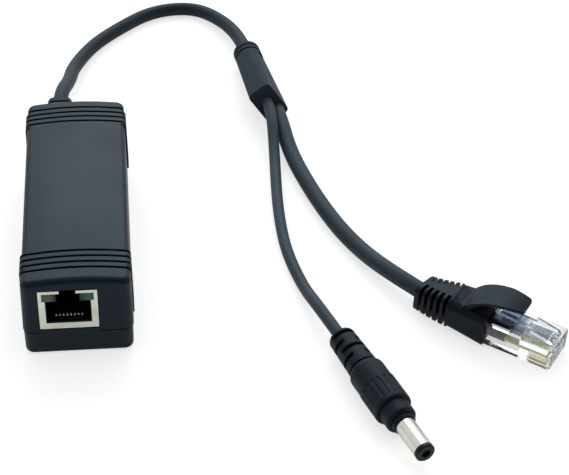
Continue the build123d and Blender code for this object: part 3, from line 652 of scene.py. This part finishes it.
def dress_solids():
    """Materials of every solid that stays, and the boot and collar of the same vinyl."""
    made = {}
    for name, colour, roughness, settings, solids in PLASTICS:
        made[name] = moulded(name, colour, roughness, **settings)
        dressed(made[name], *solids)
    boot(made["moulded_vinyl"])
    barrel_collar(made["moulded_vinyl"])
    for name, colour, roughness, stain, solids in METALS:
        dressed(metal(name, colour, roughness, stain), *solids)
    dressed(lamp_plastic("lamp_yellow", (0.22, 0.24, 0.10)), "jack_lamp_left")
    dressed(lamp_plastic("lamp_green", (0.06, 0.23, 0.13)), "jack_lamp_right")
    dressed(board_laminate(), "circuit_board")
    dressed(clear_plastic(), "network_plug_body")
    dressed(core_insulation(), "network_plug_wires")


def round_curve(name, routes, diameter, material, smoothness, roundness):
    """Round cords or wires along smooth curves, each on a route in millimetres."""
    curve = bpy.data.curves.new(name, "CURVE")
    curve.dimensions = "3D"
    curve.resolution_u = smoothness
    curve.bevel_depth = diameter / 2 * MM
    curve.bevel_resolution = roundness
    curve.use_fill_caps = True
    for route in routes:
        spline = curve.splines.new("NURBS")
        spline.points.add(len(route) - 1)
        for point, place in zip(spline.points, route):
            point.co = (*(Vector(place) * MM), 1)
        spline.order_u = 3
        spline.use_endpoint_u = True
    curve.materials.append(material)
    return placed(name, curve)


def cord(name, route, diameter, material):
    """Cord along its route."""
    return round_curve(name, [route], diameter, material, smoothness=16, roundness=8)


def cords():
    """The cord from the case to the junction, and the two that leave it."""
    # The cords' different tones are painted light and shade: the power and network cords paler for the light
    # near the junction, the main cord darker for the shade on its far arc
    thick = moulded("main_cord_vinyl", (0.019, 0.025, 0.033), 0.54, **THICK_CORD)
    thin = moulded("power_cord_vinyl", (0.048, 0.060, 0.073), 0.54, **THIN_CORD)
    flexible = moulded("network_cord_vinyl", (0.034, 0.043, 0.054), 0.54, **THIN_CORD)
    main = cord("main_cord_run", MAIN_ROUTE, MAIN_DIAMETER, thick)
    power = cord("power_cord_run", POWER_ROUTE, POWER_DIAMETER, thin)
    network = cord("network_cord_run", NETWORK_ROUTE, NETWORK_DIAMETER, flexible)
    for piece, node in ((main, "main_cord"), (power, "power_cord"), (network, "network_cord")):
        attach(piece, "root")
        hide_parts(node)


def contact_tips():
    """Bends at the front ends of the jack's eight contact springs, in a pale metal as painted highlight
    beside the springs' painted shade.
    """
    front = JACK_FRONT + TIP_BEHIND_FRONT
    routes = []
    for index in range(SPRING_COUNT):
        across = JACK_X + (index - (SPRING_COUNT - 1) / 2) * WIRE_PITCH
        routes.append([(across, front + behind, JACK_FLOOR + height) for behind, height in TIP_BEND])
    # Painted highlight: the tips are a pale, lit copy of the springs' gilt
    lit_tips_metal = metal("lit_spring_tips", (0.96, 0.94, 0.90), 0.22, (0.86, 0.82, 0.72), relief=0.000001)
    piece = round_curve("contact_tips", routes, 2 * TIP_RADIUS, lit_tips_metal, smoothness=8, roundness=4)
    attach(piece, "root")


def camera():
    """Camera at the photograph's viewing angle."""
    data = bpy.data.cameras.new("camera")
    data.sensor_width = SENSOR_WIDTH
    data.lens = FOCAL_PIXELS * SENSOR_WIDTH / IMAGE_WIDTH
    data.clip_start = 0.01
    turn = Matrix.Rotation(math.radians(CAMERA_YAW), 3, "Z")
    elevation = math.radians(CAMERA_ELEVATION)
    roll = math.radians(CAMERA_ROLL)
    right = turn @ Vector((1, 0, 0))
    ahead = turn @ Vector((0, math.cos(elevation), -math.sin(elevation)))
    up = turn @ Vector((0, math.sin(elevation), math.cos(elevation)))
    level = math.cos(roll) * right + math.sin(roll) * up
    upright = math.cos(roll) * up - math.sin(roll) * right
    rotation = Matrix((level, upright, -ahead)).transposed()
    piece = placed("camera", data)
    piece.matrix_world = Matrix.Translation(CAMERA_PLACE) @ rotation.to_4x4()
    bpy.context.scene.camera = piece


def floor_material():
    """Pale floor that shows white to the camera and keeps the shadows of the object."""
    material = bpy.data.materials.new("floor")
    material.use_nodes = True
    tree = material.node_tree
    tree.nodes.clear()
    output = tree.nodes.new("ShaderNodeOutputMaterial")
    matt = tree.nodes.new("ShaderNodeBsdfDiffuse")
    matt.inputs["Color"].default_value = (*FLOOR_TONE, 1)
    glow = tree.nodes.new("ShaderNodeEmission")
    glow.inputs["Color"].default_value = (1.0, 1.0, 1.0, 1)
    path = tree.nodes.new("ShaderNodeLightPath")
    seen = path.outputs["Is Camera Ray"]
    for kind, share in (("Is Glossy Ray", GLOSSY_SHARE), ("Is Transmission Ray", 1)):
        seen = calculated(tree, "MAXIMUM", seen, spread(tree, path.outputs[kind], 0, share, 0, 1))
    tree.links.new(spread(tree, seen, 0, FLOOR_GLOW, 0, 1), glow.inputs["Strength"])
    both = tree.nodes.new("ShaderNodeAddShader")
    tree.links.new(matt.outputs["BSDF"], both.inputs[0])
    tree.links.new(glow.outputs["Emission"], both.inputs[1])
    tree.links.new(both.outputs["Shader"], output.inputs["Surface"])
    return material


def floor():
    """Wide floor under the object."""
    mesh = bpy.data.meshes.new("floor")
    corners = [(x * FLOOR_REACH, y * FLOOR_REACH, 0) for x, y in ((-1, -1), (1, -1), (1, 1), (-1, 1))]
    mesh.from_pydata(corners, [], [(0, 1, 2, 3)])
    mesh.materials.append(floor_material())
    placed("floor", mesh)


def lamp(name, place, target, size, power, colour):
    """Square soft lamp that faces a target."""
    data = bpy.data.lights.new(name, "AREA")
    data.size = size
    data.energy = power
    data.color = colour
    piece = placed(name, data)
    piece.location = place
    piece.rotation_mode = "QUATERNION"
    piece.rotation_quaternion = (Vector(target) - Vector(place)).to_track_quat("-Z", "Y")


def studio():
    """Pale surroundings, brighter behind the object, and one soft lamp above and behind it."""
    world = bpy.data.worlds.new("studio")
    world.use_nodes = True
    tree = world.node_tree
    background = tree.nodes["Background"]
    direction = tree.nodes.new("ShaderNodeTexCoord")
    ahead = axes(tree, direction.outputs["Generated"])["Y"]
    strength = spread(tree, ahead, FRONT_LIGHT, BACK_LIGHT, -LIGHT_TURN, LIGHT_TURN)
    tree.links.new(strength, background.inputs["Strength"])
    share = spread(tree, ahead, 0, 1, -LIGHT_TURN, LIGHT_TURN)
    tree.links.new(blended(tree, share, FRONT_COLOUR, BACK_COLOUR), background.inputs["Color"])
    bpy.context.scene.world = world
    lamp("key", KEY_PLACE, KEY_TARGET, KEY_SIZE, KEY_POWER, KEY_COLOUR)


dress_solids()
cords()
contact_tips()
floor()
studio()
camera()
bpy.context.scene.view_settings.view_transform = "Standard"
